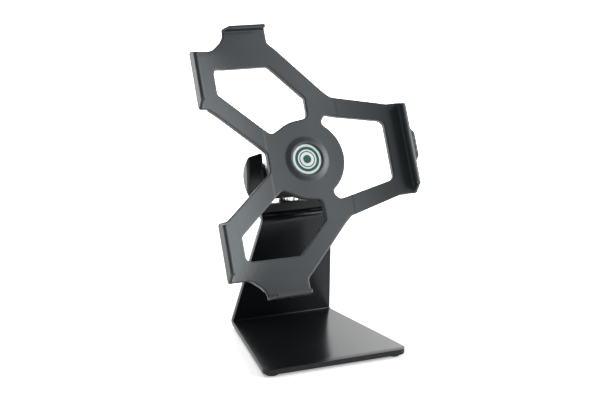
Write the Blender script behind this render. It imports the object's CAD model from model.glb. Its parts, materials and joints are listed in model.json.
"""A stand with a plate foot, a tilt bracket, and a cradle carrying a round enamel badge.

Metres, +Z up. The cradle faces the camera, on the -Y side. The stand is lit on a pale
floor that curves up into a wall on the far side.
"""
import json
import math

import bmesh
import bpy
from mathutils import Matrix, Vector


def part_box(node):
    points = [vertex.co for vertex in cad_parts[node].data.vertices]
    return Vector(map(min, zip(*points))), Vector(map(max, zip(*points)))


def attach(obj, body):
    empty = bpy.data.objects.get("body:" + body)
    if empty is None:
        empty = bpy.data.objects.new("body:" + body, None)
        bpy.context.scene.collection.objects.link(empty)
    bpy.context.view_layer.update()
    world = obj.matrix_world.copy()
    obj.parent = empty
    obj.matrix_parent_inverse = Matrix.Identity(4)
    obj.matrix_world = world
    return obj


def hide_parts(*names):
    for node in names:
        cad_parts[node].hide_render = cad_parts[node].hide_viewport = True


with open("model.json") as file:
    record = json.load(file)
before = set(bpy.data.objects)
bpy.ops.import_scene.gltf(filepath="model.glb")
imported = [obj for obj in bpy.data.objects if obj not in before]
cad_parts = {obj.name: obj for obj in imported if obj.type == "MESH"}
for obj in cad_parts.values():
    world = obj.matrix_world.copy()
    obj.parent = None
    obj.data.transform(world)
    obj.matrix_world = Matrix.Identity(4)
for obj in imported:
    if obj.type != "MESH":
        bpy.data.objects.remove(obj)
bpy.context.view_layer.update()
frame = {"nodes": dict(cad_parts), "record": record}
nodes = frame["nodes"]
record = frame["record"]
behaviour = record["behaviour"]
node_slot = {part["node"]: part["material_slot"] for part in record["subparts"]}
node_body = {node: body for body, members in behaviour["bodies"].items() for node in members}
spin = next(joint for joint in behaviour["joints"] if joint["name"] == "cradle_spin")

# the cradle's own directions, and the middle of its badge
OUTWARD = Vector(spin["axis"]).normalized()
ACROSS = Vector((1, 0, 0))
UPWARD = OUTWARD.cross(ACROSS).normalized()
badge_lo, badge_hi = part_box("hub_badge")
BADGE = (Vector(badge_lo) + Vector(badge_hi)) / 2


# ---------------------------------------------------------------- material builder
NOISE_BAND = (0.3, 0.7)        # where most noise values fall
NARROW_BAND = (0.35, 0.65)     # a tighter band, for more contrast
COOL_SHEEN = (0.90, 0.97, 1.0)
MIX_SOCKETS = {"VECTOR": (4, 5, 1), "RGBA": (6, 7, 2)}   # inputs A and B, output


def configure(thing, **settings):
    for key, value in settings.items():
        setattr(thing, key, value)
    return thing


class Shader:
    """Builds one procedural material. Patterns are laid out in object coordinates."""

    def __init__(self, name):
        self.material = bpy.data.materials.new(name)
        self.material.use_nodes = True
        self.tree = self.material.node_tree
        self.surface = self.tree.nodes["Principled BSDF"]
        self.coords = self.object_coords()

    def node(self, kind, **settings):
        return configure(self.tree.nodes.new(kind), **settings)

    def object_coords(self):
        return self.node("ShaderNodeTexCoord").outputs["Object"]

    def put(self, target, value):
        """Links a socket or sets a value; a three-part colour is made opaque."""
        if isinstance(value, bpy.types.NodeSocket):
            self.tree.links.new(value, target)
        elif target.type == "RGBA" and len(value) == 3:
            target.default_value = (*value, 1)
        else:
            target.default_value = value

    def set(self, **inputs):
        """Sets the surface's inputs, named with underscores for spaces."""
        for key, value in inputs.items():
            self.put(self.surface.inputs[key.replace("_", " ")], value)
        return self

    def calc(self, operation, first, second=0.0, blend=None):
        node = self.node("ShaderNodeMath", operation=operation)
        self.put(node.inputs[0], first)
        self.put(node.inputs[1], second)
        if blend is not None:
            self.put(node.inputs[2], blend)
        return node.outputs[0]

    def vector_calc(self, operation, first, second=None):
        node = self.node("ShaderNodeVectorMath", operation=operation)
        self.put(node.inputs[0], first)
        if second is not None:
            self.put(node.inputs[1], second)
        return node.outputs["Value" if operation in ("DOT_PRODUCT", "LENGTH") else "Vector"]

    def noise(self, scale=1.0, detail=2.0, roughness=0.5, stretch=None, turn=(0, 0, 0)):
        """Noise; stretch multiplies its frequency along x, y and z."""
        coords = self.coords
        if stretch:
            mapping = self.node("ShaderNodeMapping")
            self.put(mapping.inputs["Vector"], coords)
            self.put(mapping.inputs["Scale"], stretch)
            self.put(mapping.inputs["Rotation"], turn)
            coords = mapping.outputs["Vector"]
        node = self.node("ShaderNodeTexNoise")
        self.put(node.inputs["Vector"], coords)
        self.put(node.inputs["Scale"], scale)
        self.put(node.inputs["Detail"], detail)
        self.put(node.inputs["Roughness"], roughness)
        return node.outputs["Fac"]

    def cells(self, scale):
        node = self.node("ShaderNodeTexVoronoi")
        self.put(node.inputs["Vector"], self.coords)
        self.put(node.inputs["Scale"], scale)
        return node.outputs["Distance"]

    def span(self, value, given=NOISE_BAND, to=(0.0, 1.0), smooth=False):
        """Maps one range of values onto another."""
        kind = "SMOOTHSTEP" if smooth else "LINEAR"
        node = self.node("ShaderNodeMapRange", interpolation_type=kind)
        self.put(node.inputs["Value"], value)
        for key, limit in zip(("From Min", "From Max", "To Min", "To Max"), (*given, *to)):
            node.inputs[key].default_value = limit
        return node.outputs["Result"]

    def mix(self, factor, low, high, data_type="RGBA"):
        """The low value at factor 0 and the high one at 1."""
        low_input, high_input, output = MIX_SOCKETS[data_type]
        node = self.node("ShaderNodeMix", data_type=data_type)
        self.put(node.inputs["Factor"], factor)
        self.put(node.inputs[low_input], low)
        self.put(node.inputs[high_input], high)
        return node.outputs[output]

    def bump(self, height, strength, distance, normal=None):
        node = self.node("ShaderNodeBump")
        self.put(node.inputs["Height"], height)
        self.put(node.inputs["Strength"], strength)
        self.put(node.inputs["Distance"], distance)
        if normal is not None:
            self.put(node.inputs["Normal"], normal)
        return node.outputs["Normal"]

    def along(self, point, axis):
        """Signed distance from a point along an axis."""
        return self.vector_calc("DOT_PRODUCT", self.vector_calc("SUBTRACT", self.coords, point), axis)

    def radius_about(self, point, axis):
        """Distance from the line through a point."""
        offset = self.vector_calc("SUBTRACT", self.coords, point)
        return self.vector_calc("LENGTH", self.vector_calc("CROSS_PRODUCT", offset, axis))


# ---------------------------------------------------------------- materials
def powder_coat():
    mat = Shader("powder_coat")
    broad = mat.noise(scale=14, detail=3)
    peel = mat.noise(scale=420)
    speck = mat.noise(scale=1900, detail=1.5, roughness=0.6)
    tone = mat.span(broad, given=NARROW_BAND)
    gloss = mat.span(speck, to=(0.19, 0.25))
    peel_normal = mat.bump(peel, strength=0.06, distance=0.00003)
    return mat.set(
        Base_Color=mat.mix(tone, low=(0.0030, 0.0038, 0.0046), high=(0.0044, 0.0052, 0.0062)),
        Roughness=mat.calc("ADD", gloss, mat.span(broad, to=(-0.015, 0.02))),
        Normal=mat.bump(speck, strength=0.05, distance=0.00001, normal=peel_normal),
        Specular_IOR_Level=0.27,
        Specular_Tint=COOL_SHEEN)


def black_steel():
    mat = Shader("black_steel")
    broad = mat.noise(scale=60, detail=3)
    fine = mat.noise(scale=1500)
    tone = mat.span(broad, given=NARROW_BAND)
    return mat.set(
        Base_Color=mat.mix(tone, low=(0.0030, 0.0038, 0.0045), high=(0.0055, 0.0065, 0.0075)),
        Roughness=mat.span(fine, to=(0.28, 0.38)),
        Normal=mat.bump(fine, strength=0.08, distance=0.00002),
        Specular_IOR_Level=0.20)


def moulded(name, dark, light, roughness, grain, depth, specular):
    """Injection-moulded plastic with a fine eroded texture."""
    mat = Shader(name)
    broad = mat.noise(scale=18)
    pits = mat.cells(grain)
    fine = mat.noise(scale=grain * 2.2, roughness=0.6)
    flow = mat.noise(detail=3, stretch=(30, 30, 9))
    height = mat.calc("ADD", mat.calc("MULTIPLY", pits, 0.6), mat.calc("MULTIPLY", fine, 0.6))
    tone = mat.calc("ADD", mat.span(broad, to=(0.0, 0.6)),
                    mat.span(flow, given=NARROW_BAND, to=(0.0, 0.4)))
    # pits are duller than the peaks between them
    gloss = mat.span(height, given=(0.2, 0.9), to=(roughness + 0.05, roughness - 0.04))
    return mat.set(
        Base_Color=mat.mix(tone, low=dark, high=light),
        Roughness=mat.calc("ADD", gloss, mat.span(broad, to=(-0.015, 0.02))),
        Normal=mat.bump(height, strength=0.35, distance=depth),
        Specular_IOR_Level=specular,
        Specular_Tint=COOL_SHEEN)


# The dish in the cradle's face, measured from the badge's middle
DISH_DEPTH = 0.0085
DISH_SLOPE = 0.2
DISH_START = (0.0372, 0.060)                  # where the slopes begin, across and upward
BOWL_SPAN = ((0.010, 0.098), (0.020, 0.125))  # where the smooth bowl rises, likewise
FOLD_BLEND = 0.0004                           # rounding of the modelled dish's folds
BOWL_BLEND = 0.004                            # rounding between the bowl's two rises
FACE_TURN = (0.90, 0.97)                      # how squarely a surface faces outward


def cradle_plastic():
    """Moulded plastic that shades the cradle's flat-sided dish as one smooth bowl."""
    mat = moulded("cradle_plastic", dark=(0.0150, 0.0180, 0.0205), light=(0.0190, 0.0225, 0.0255),
                  roughness=0.40, grain=1500, depth=0.00003, specular=0.5)
    mat.coords = mat.object_coords()
    distances = [mat.calc("ABSOLUTE", mat.along(BADGE, axis)) for axis in (ACROSS, UPWARD)]

    def slope(distance, start):
        climb = mat.calc("MULTIPLY", mat.calc("SUBTRACT", distance, start), DISH_SLOPE)
        floored = mat.calc("SMOOTH_MAX", climb, 0.0, blend=FOLD_BLEND)
        return mat.calc("SMOOTH_MIN", floored, DISH_DEPTH, blend=FOLD_BLEND)

    def rise(part):
        return mat.calc("MULTIPLY", mat.calc("MULTIPLY", part, part), DISH_DEPTH)

    slopes = [slope(distance, start) for distance, start in zip(distances, DISH_START)]
    built = mat.calc("SMOOTH_MAX", *slopes, blend=FOLD_BLEND)
    parts = [mat.span(distance, given=given) for distance, given in zip(distances, BOWL_SPAN)]
    bowl = mat.calc("SMOOTH_MAX", *[rise(part) for part in parts], blend=BOWL_BLEND)

    # bump by the difference between bowl and dish, only where the surface lies flat to the face
    normal = mat.node("ShaderNodeTexCoord").outputs["Normal"]
    facing = mat.vector_calc("DOT_PRODUCT", normal, OUTWARD)
    side = mat.calc("SIGN", facing)
    change = mat.calc("MULTIPLY", mat.calc("SUBTRACT", bowl, built), side)
    bowl_normal = mat.bump(change, strength=1.0, distance=1.0)
    flat = mat.span(mat.calc("ABSOLUTE", facing), given=FACE_TURN, smooth=True)
    true_normal = mat.node("ShaderNodeNewGeometry").outputs["Normal"]
    shaded = mat.mix(flat, low=true_normal, high=bowl_normal, data_type="VECTOR")

    # the plastic's grain sits on top of the bowl
    grain = mat.surface.inputs["Normal"].links[0].from_node
    mat.put(grain.inputs["Normal"], mat.vector_calc("NORMALIZE", shaded))
    return mat


def knob_plastic():
    return moulded("knob_plastic", dark=(0.004, 0.005, 0.0055), light=(0.007, 0.008, 0.009),
                   roughness=0.34, grain=1900, depth=0.00002, specular=0.3)


def zinc_plate():
    mat = Shader("zinc_plate")
    brush = mat.noise(detail=3, roughness=0.6, stretch=(80, 80, 2600))
    patch = mat.span(mat.cells(160), given=(0.1, 0.8))
    return mat.set(
        Metallic=1.0,
        Base_Color=mat.mix(patch, low=(0.50, 0.51, 0.52), high=(0.62, 0.63, 0.64)),
        Roughness=mat.span(brush, to=(0.28, 0.42)),
        Normal=mat.bump(brush, strength=0.12, distance=0.00003))


def bright_chrome():
    mat = Shader("bright_chrome")
    fine = mat.noise(scale=900)
    broad = mat.span(mat.noise(scale=40))
    return mat.set(
        Metallic=1.0,
        Base_Color=mat.mix(broad, low=(0.60, 0.61, 0.62), high=(0.68, 0.69, 0.70)),
        Roughness=mat.span(fine, to=(0.20, 0.26)),
        Normal=mat.bump(fine, strength=0.03, distance=0.00002))


def spring_steel():
    mat = Shader("spring_steel")
    fine = mat.noise(scale=1400)
    return mat.set(
        Metallic=1.0,
        Base_Color=mat.mix(fine, low=(0.25, 0.26, 0.28), high=(0.40, 0.41, 0.42)),
        Roughness=mat.span(fine, to=(0.25, 0.4)),
        Normal=mat.bump(fine, strength=0.1, distance=0.00003))


def insert_brass():
    mat = Shader("insert_brass")
    turned = mat.noise(stretch=(3000, 120, 120))
    return mat.set(
        Metallic=1.0,
        Base_Color=mat.mix(turned, low=(0.60, 0.40, 0.13), high=(0.78, 0.56, 0.24)),
        Roughness=mat.span(turned, to=(0.18, 0.34)),
        Normal=mat.bump(turned, strength=0.15, distance=0.00003))


def fibre_disc():
    mat = Shader("fibre_disc")
    strands = mat.noise(detail=4, roughness=0.65, stretch=(900, 2600, 400), turn=(0, 0.6, 0.3))
    return mat.set(
        Base_Color=mat.mix(mat.span(strands), low=(0.11, 0.065, 0.03), high=(0.30, 0.20, 0.11)),
        Roughness=0.85,
        Normal=mat.bump(strands, strength=0.5, distance=0.00008))


def nylon():
    mat = Shader("nylon")
    fine = mat.noise(scale=700, detail=3)
    broad = mat.noise(scale=30)
    return mat.set(
        Base_Color=mat.mix(broad, low=(0.60, 0.58, 0.50), high=(0.74, 0.72, 0.64)),
        Roughness=mat.span(fine, to=(0.42, 0.56)),
        Normal=mat.bump(fine, strength=0.15, distance=0.00004),
        Subsurface_Weight=0.1,
        Subsurface_Radius=(0.001, 0.001, 0.001))


def foot_rubber():
    mat = Shader("foot_rubber")
    fine = mat.noise(scale=1100, detail=3, roughness=0.6)
    pits = mat.cells(900)
    tone = mat.noise(scale=90)
    return mat.set(
        Base_Color=mat.mix(tone, low=(0.010, 0.010, 0.011), high=(0.022, 0.022, 0.023)),
        Roughness=mat.span(fine, to=(0.68, 0.84)),
        Normal=mat.bump(mat.calc("ADD", fine, pits), strength=0.4, distance=0.00008),
        Specular_IOR_Level=0.35)


# Radii of the badge's marks
WIDE_RING = (0.0090, 0.0118)
THIN_RING = (0.0066, 0.0077)
DOT_RADIUS = 0.0040
MARK_EDGE = 0.0001             # width over which a mark fades in
RIM_RISE = (0.0131, 0.0135)
MARK_SINK = 0.4                # depth of the marks against the height of the rim


def badge_enamel():
    """White enamel with two green rings and a green dot, slightly sunk, and a raised rim."""
    mat = Shader("badge_enamel")
    radius = mat.radius_about(BADGE, OUTWARD)

    def within(limit):
        return mat.span(radius, given=(limit, limit - MARK_EDGE), smooth=True)

    def ring(inner, outer):
        beyond = mat.span(radius, given=(inner, inner + MARK_EDGE), smooth=True)
        return mat.calc("MULTIPLY", beyond, within(outer))

    rings = mat.calc("MAXIMUM", ring(*WIDE_RING), ring(*THIN_RING))
    mark = mat.calc("MAXIMUM", rings, within(DOT_RADIUS))
    speck = mat.noise(scale=900)
    white = mat.mix(mat.span(mat.noise(scale=120)), low=(0.54, 0.58, 0.58), high=(0.60, 0.64, 0.64))
    green = mat.mix(mat.span(speck), low=(0.004, 0.060, 0.046), high=(0.008, 0.085, 0.066))
    relief = mat.calc("SUBTRACT", mat.span(radius, given=RIM_RISE, smooth=True),
                      mat.calc("MULTIPLY", mark, MARK_SINK))
    speck_normal = mat.bump(speck, strength=0.05, distance=0.00003)
    return mat.set(
        Base_Color=mat.mix(mark, low=white, high=green),
        Roughness=mat.span(speck, to=(0.26, 0.34)),
        Specular_IOR_Level=0.25,
        Normal=mat.bump(relief, strength=0.5, distance=0.0002, normal=speck_normal))


builders = (powder_coat, black_steel, cradle_plastic, knob_plastic, zinc_plate, bright_chrome,
            spring_steel, insert_brass, fibre_disc, nylon, foot_rubber, badge_enamel)
materials = {build.__name__: build().material for build in builders}
for name, ob in nodes.items():
    ob.data.materials.clear()
    ob.data.materials.append(materials[node_slot[name]])


# ---------------------------------------------------------------- shapes
WELD_DISTANCE = 2e-6
FLAT_ANGLE = math.radians(0.3)     # faces closer than this are merged
EASE_ANGLE = math.radians(28)      # edges sharper than this are rounded
SHARP_ANGLE = math.radians(40)     # edges sharper than this stay crisp in shading


def welded(node):
    solid = bmesh.new()
    solid.from_mesh(nodes[node].data)
    bmesh.ops.remove_doubles(solid, verts=solid.verts, dist=WELD_DISTANCE)
    return solid


def mesh_object(name, solid, material):
    mesh = bpy.data.meshes.new(name)
    solid.to_mesh(mesh)
    solid.free()
    ob = bpy.data.objects.new(name, mesh)
    bpy.context.scene.collection.objects.link(ob)
    mesh.materials.append(material)
    return ob


def shade_smooth(ob):
    ob.data.polygons.foreach_set("use_smooth", [True] * len(ob.data.polygons))


def settle(ob):
    """Turns the object's modifiers into its mesh."""
    depsgraph = bpy.context.evaluated_depsgraph_get()
    mesh = bpy.data.meshes.new_from_object(ob.evaluated_get(depsgraph))
    ob.modifiers.clear()
    old = ob.data
    ob.data = mesh
    bpy.data.meshes.remove(old)
    shade_smooth(ob)


def adopt(ob, node):
    """Puts the object in place of the CAD piece."""
    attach(ob, node_body[node])
    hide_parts(node)


def moulded_shell(node, voxel, rounds):
    """The CAD solid with every edge softened as a mould leaves it."""
    ob = mesh_object(node + "_shell", welded(node), materials[node_slot[node]])
    configure(ob.modifiers.new("remesh", "REMESH"),
              mode="VOXEL", voxel_size=voxel, use_smooth_shade=True)
    configure(ob.modifiers.new("soften", "SMOOTH"), factor=0.5, iterations=rounds)
    settle(ob)
    adopt(ob, node)


def eased(node, width):
    """The CAD solid with a small round on every sharp edge."""
    solid = welded(node)
    bmesh.ops.dissolve_limit(solid, angle_limit=FLAT_ANGLE, verts=solid.verts, edges=solid.edges)
    ob = mesh_object(node + "_eased", solid, materials[node_slot[node]])
    configure(ob.modifiers.new("ease", "BEVEL"), width=width, segments=3, limit_method="ANGLE",
              angle_limit=EASE_ANGLE, use_clamp_overlap=True, harden_normals=False)
    settle(ob)
    ob.data.set_sharp_from_angle(angle=SHARP_ANGLE)
    adopt(ob, node)


moulded_shell("cradle", voxel=0.0006, rounds=5)
moulded_shell("wing_knob", voxel=0.0004, rounds=4)
moulded_shell("rubber_feet", voxel=0.0005, rounds=4)
eased("stand_plate", width=0.0006)
eased("joint_block", width=0.0006)
eased("tilt_bracket", width=0.0003)


# ---------------------------------------------------------------- room
ROOM_HALF_WIDTH = 5.0
FLOOR_NEAR = -4.0
CURVE_START = 1.6
CURVE_RADIUS = 1.2
WALL_TOP = 4.5
ROOM_TURN = -math.radians(23.2)


def paper():
    mat = Shader("paper")
    mat.set(Base_Color=mat.mix(mat.noise(scale=3), low=(0.88, 0.88, 0.88), high=(0.91, 0.91, 0.91)),
            Roughness=0.9,
            Specular_IOR_Level=0.1)
    # what the camera and mirror-like surfaces see is lifted to white away from the stand
    distance = mat.vector_calc("LENGTH", mat.coords)
    lift = mat.span(distance, given=(0.25, 0.9), to=(0.38, 2.0), smooth=True)
    rays = mat.node("ShaderNodeLightPath").outputs
    seen = mat.calc("MAXIMUM", rays["Is Camera Ray"], rays["Is Glossy Ray"])
    mat.set(Emission_Color=(1.0, 1.0, 1.0), Emission_Strength=mat.calc("MULTIPLY", lift, seen))
    return mat.material


def room():
    """A pale floor that curves up into a wall on the side away from the camera."""
    arc = [math.radians(degrees) for degrees in range(0, 91, 6)]
    profile = [(FLOOR_NEAR, 0.0)]
    profile += [(CURVE_START + CURVE_RADIUS * math.sin(angle),
                 CURVE_RADIUS - CURVE_RADIUS * math.cos(angle)) for angle in arc]
    profile += [(CURVE_START + CURVE_RADIUS, WALL_TOP)]
    sheet = bmesh.new()
    left, right = [[sheet.verts.new((x, y, z)) for y, z in profile]
                   for x in (-ROOM_HALF_WIDTH, ROOM_HALF_WIDTH)]
    for i in range(len(profile) - 1):
        sheet.faces.new((left[i], right[i], right[i + 1], left[i + 1]))
    ob = mesh_object("room", sheet, paper())
    shade_smooth(ob)
    ob.rotation_euler = (0, 0, ROOM_TURN)


room()

# name, place, point aimed at, size, watts
LIGHTS = [
    ("back_top_box", (-0.1, 0.55, 1.55), (0, 0, 0.1), (2.2, 1.2), 26),
    ("key_box", (1.20, -0.86, 0.76), (0, 0, 0.18), (1.05, 0.9), 32),
    ("edge_box", (-1.3, 0.1, 0.7), (0, 0, 0.2), (0.35, 1.1), 3),
]
for name, place, aim, (width, height), power in LIGHTS:
    light = configure(bpy.data.lights.new(name, "AREA"),
                      shape="RECTANGLE", size=width, size_y=height, energy=power)
    ob = bpy.data.objects.new(name, light)
    bpy.context.scene.collection.objects.link(ob)
    ob.location = place
    ob.rotation_mode = "QUATERNION"
    ob.rotation_quaternion = (Vector(aim) - Vector(place)).to_track_quat("-Z", "Y")

# the surroundings: white to the camera, dim where they light the stand
SKY_LIGHTING, SKY_SEEN = 0.12, 1.0


def surroundings():
    world = bpy.data.worlds.new("room_light")
    bpy.context.scene.world = world
    world.use_nodes = True
    tree = world.node_tree
    sky = tree.nodes["Background"]
    sky.inputs["Color"].default_value = (1, 1, 1, 1)
    path = tree.nodes.new("ShaderNodeLightPath")
    pick = tree.nodes.new("ShaderNodeMix")
    tree.links.new(path.outputs["Is Camera Ray"], pick.inputs["Factor"])
    pick.inputs[2].default_value = SKY_LIGHTING
    pick.inputs[3].default_value = SKY_SEEN
    tree.links.new(pick.outputs[0], sky.inputs["Strength"])


surroundings()

# ---------------------------------------------------------------- camera
CAMERA_PLACE = (-0.4907, -1.1213, 0.4596)
YAW = 0.405410      # radians from +Y towards +X
PITCH = 0.255204    # radians below level


def camera():
    lens = configure(bpy.data.cameras.new("camera"), lens=82.77, sensor_width=36.0,
                     sensor_fit="HORIZONTAL", shift_x=0.0006, clip_start=0.05, clip_end=20)
    ob = bpy.data.objects.new("camera", lens)
    scene = bpy.context.scene
    scene.collection.objects.link(ob)
    forward = Vector((math.sin(YAW) * math.cos(PITCH), math.cos(YAW) * math.cos(PITCH),
                      -math.sin(PITCH)))
    right = Vector((math.cos(YAW), -math.sin(YAW), 0))
    turn = Matrix((right, right.cross(forward), -forward)).transposed().to_4x4()
    ob.matrix_world = Matrix.Translation(CAMERA_PLACE) @ turn
    scene.camera = ob
    scene.view_settings.view_transform = "Standard"
    scene.view_settings.look = "None"


camera()

bpy.context.view_layer.update()
